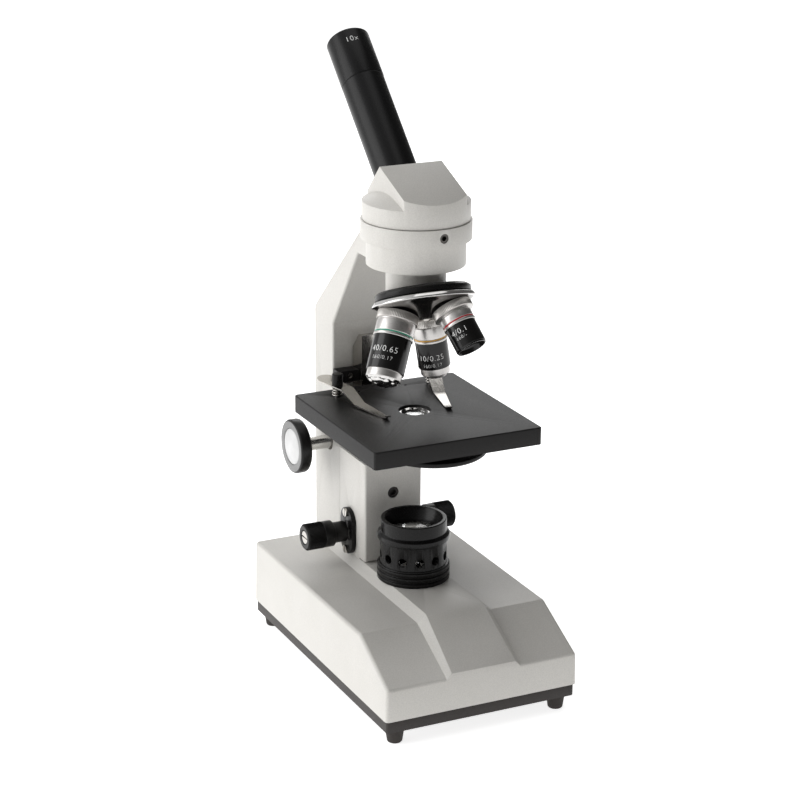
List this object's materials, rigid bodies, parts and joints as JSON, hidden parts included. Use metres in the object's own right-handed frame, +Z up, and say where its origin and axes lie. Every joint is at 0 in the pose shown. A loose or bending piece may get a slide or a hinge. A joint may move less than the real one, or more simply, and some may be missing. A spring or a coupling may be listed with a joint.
{
  "type": "student microscope",
  "caption": "Upright monocular student microscope with inclined eyepiece tube, turning nosepiece, rack-and-pinion stage focus, spring clips and a lamp in its wedge-nosed base.",
  "frame": {"origin": "middle of the bounding box on the table plane, under the feet", "axes": "+Z up, -Y the front of the base (side of the sloped nose), +X the right side seen from the front"},
  "size_m": [0.127, 0.205, 0.3898],
  "materials": {
    "paint": "fine-textured warm light grey enamel",
    "dark_pan": "dark brown-grey enamel",
    "rubber": "matte",
    "steel": "brushed",
    "black_screw": "black oxide",
    "chrome": "polished",
    "stage_black": "fine textured black",
    "black_satin": "satin black anodised",
    "black_plastic": "satin moulded",
    "white_plastic": "satin",
    "glass": "clear",
    "brass": "machined",
    "aluminium": "machined",
    "iron": "laminated",
    "copper_wire": "enamelled wire",
    "ceramic": "glazed"
  },
  "bodies": {
    "stand": {"base_cover": "paint", "base_pan": "dark_pan", "feet": "rubber", "foot_screws": "steel", "power_inlet": "black_plastic", "fuse_holder": "black_plastic", "switch_bezel": "black_plastic", "transformer_core": "iron", "transformer_coil": "copper_wire", "arm": "paint", "arm_bolts": "black_screw", "column_housing": "paint", "column_cover": "paint", "column_cover_screw": "black_screw", "fine_plates": "black_satin", "fine_plate_screws": "steel", "lamp_housing": "black_satin", "lamp_screws": "steel", "collector_lens": "glass", "lamp_socket": "ceramic", "lamp_bulb": "glass", "head_lock_screw": "black_screw", "nosepiece_mount": "black_satin", "click_spring": "steel", "turret_pivot": "steel"},
    "rocker": {"switch_rocker": "black_plastic"},
    "fine_drive": {"fine_shaft": "steel", "fine_knobs": "black_satin", "fine_knob_screws": "steel"},
    "focus_block": {"guide_block": "aluminium", "fine_lifter": "steel"},
    "coarse_drive": {"coarse_shaft": "steel", "pinion": "brass", "coarse_knobs": "black_plastic", "coarse_insets": "white_plastic"},
    "stage": {"rack_rail": "steel", "stage_bracket": "stage_black", "stage_screws": "steel", "stage_plate": "stage_black", "condenser_cell": "chrome", "condenser_lens": "glass", "disc_holder": "stage_black", "disc_pivot": "steel", "clip_studs": "steel", "clip_springs": "steel"},
    "aperture": {"aperture_disc": "stage_black"},
    "clip_left": {"clip_strip_left": "steel", "clip_knob_left": "black_satin"},
    "clip_right": {"clip_strip_right": "steel", "clip_knob_right": "black_satin"},
    "nosepiece": {"turret": "chrome", "objective_4": "chrome", "objective_10": "chrome", "objective_40": "chrome", "objective_lenses": "glass"},
    "head": {"head_housing": "paint", "prism": "glass", "eyepiece_tube": "black_satin"},
    "eyepiece": {"eyepiece_barrel": "black_satin", "eyepiece_lenses": "glass"}
  },
  "joints": [
    {"name": "power_rocker", "type": "hinge", "parent": "stand", "child": "rocker", "pos_m": [0.03, 0.0965, 0.036], "axis": [1, 0, 0], "range_deg": [-14, 0]},
    {"name": "fine_slide", "type": "slide", "parent": "stand", "child": "focus_block", "axis": [0, 0, 1], "range_m": [-0.001, 0.001]},
    {"name": "fine_turn", "type": "hinge", "parent": "stand", "child": "fine_drive", "pos_m": [0, 0.0441, 0.0777], "axis": [1, 0, 0], "range_deg": [-140, 140]},
    {"name": "coarse_slide", "type": "slide", "parent": "focus_block", "child": "stage", "axis": [0, 0, 1], "range_m": [-0.023, 0.0115]},
    {"name": "coarse_turn", "type": "hinge", "parent": "focus_block", "child": "coarse_drive", "pos_m": [0, 0.077, 0.127], "axis": [1, 0, 0], "range_deg": [-82.38, 164.75]},
    {"name": "aperture_turn", "type": "hinge", "parent": "stage", "child": "aperture", "pos_m": [0, -0.0315, 0.153], "axis": [0, 0, 1], "continuous": true},
    {"name": "clip_left_swing", "type": "hinge", "parent": "stage", "child": "clip_left", "pos_m": [-0.0322, 0.0355, 0.17115], "axis": [0, 0, 1], "range_deg": [-60, 10]},
    {"name": "clip_right_swing", "type": "hinge", "parent": "stage", "child": "clip_right", "pos_m": [0.0322, 0.0355, 0.17115], "axis": [0, 0, 1], "range_deg": [-10, 60]},
    {"name": "nosepiece_turn", "type": "hinge", "parent": "stand", "child": "nosepiece", "pos_m": [0, -0.007, 0.2764], "axis": [0.0344, 0.386, 0.9219], "continuous": true},
    {"name": "head_turn", "type": "hinge", "parent": "stand", "child": "head", "pos_m": [0, -0.007, 0.2908], "axis": [0, 0, 1], "continuous": true},
    {"name": "eyepiece_lift", "type": "slide", "parent": "head", "child": "eyepiece", "axis": [0, 0.7193, 0.6947], "range_m": [0, 0.03]}
  ],
  "couplings": [
    {"joint": "coarse_turn", "follows": "coarse_slide", "rad_per_m": -125},
    {"joint": "fine_turn", "follows": "fine_slide", "rad_per_m": -2443.5}
  ]
}
